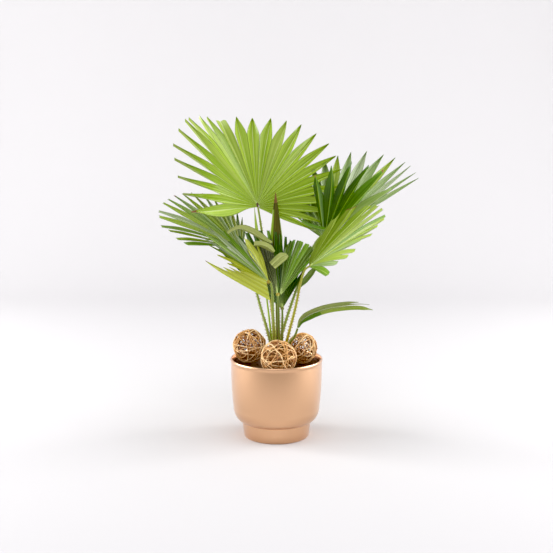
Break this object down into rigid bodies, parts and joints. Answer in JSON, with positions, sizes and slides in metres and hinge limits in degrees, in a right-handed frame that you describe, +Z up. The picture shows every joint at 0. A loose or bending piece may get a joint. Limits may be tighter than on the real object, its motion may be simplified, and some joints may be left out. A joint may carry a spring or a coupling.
{
  "type": "potted chinese fan palm",
  "caption": "Potted Chinese fan palm: pleated fan fronds on thin thorny stalks rising from a footed copper-gold pot, with rattan balls resting on the soil",
  "frame": {"origin": "middle of the pot's flat underside, where the plant stands on the floor", "axes": "+Z up; -Y is the front that the largest frond and the front ball face; +X is to the right seen from the front"},
  "size_m": [0.5532, 0.4213, 0.657],
  "materials": {
    "pot_coat": "satin copper-gold metallic coat",
    "soil": "matt, crumbly potting soil",
    "fibre": "rough brown sheath fibre",
    "stalk": "smooth, faintly glossy, brown towards the foot",
    "leaf_bright": "glossy light green, pleated",
    "leaf_dark": "satin dark green, pleated",
    "leaf_yellow": "satin yellow-green, pleated",
    "leaf_grey": "satin grey-green, pleated",
    "rattan": "matt natural cane"
  },
  "bodies": {
    "root": {"pot": "pot_coat", "soil": "soil", "stump": "fibre", "rattan_ball_left": "rattan", "rattan_ball_front": "rattan", "rattan_ball_right": "rattan", "spear_leaf": "leaf_dark", "young_leaf": "leaf_yellow", "strap_blade": "leaf_grey", "leaflet_bent_long": "leaf_grey", "leaflet_bent_short": "leaf_grey", "leaflet_bent_flap": "leaf_grey", "leaflet_hanging": "leaf_dark", "leaflet_crossing": "leaf_bright", "frond_rear": "leaf_dark", "stalk_rear": "stalk", "frond_top": "leaf_bright", "frond_right_far_half": "leaf_bright", "frond_right_near_half": "leaf_dark", "frond_right_low": "leaf_bright", "frond_left": "leaf_dark", "frond_front_far_half": "leaf_yellow", "frond_front_near_half": "leaf_yellow", "frond_middle_left_half": "leaf_grey", "frond_middle_right_half": "leaf_dark", "frond_back": "leaf_dark", "stalk_top": "stalk", "stalk_right": "stalk", "stalk_right_low": "stalk", "stalk_left": "stalk", "stalk_front": "stalk", "stalk_middle": "stalk", "stalk_back": "stalk", "stalk_strap": "stalk"}
  },
  "joints": []
}
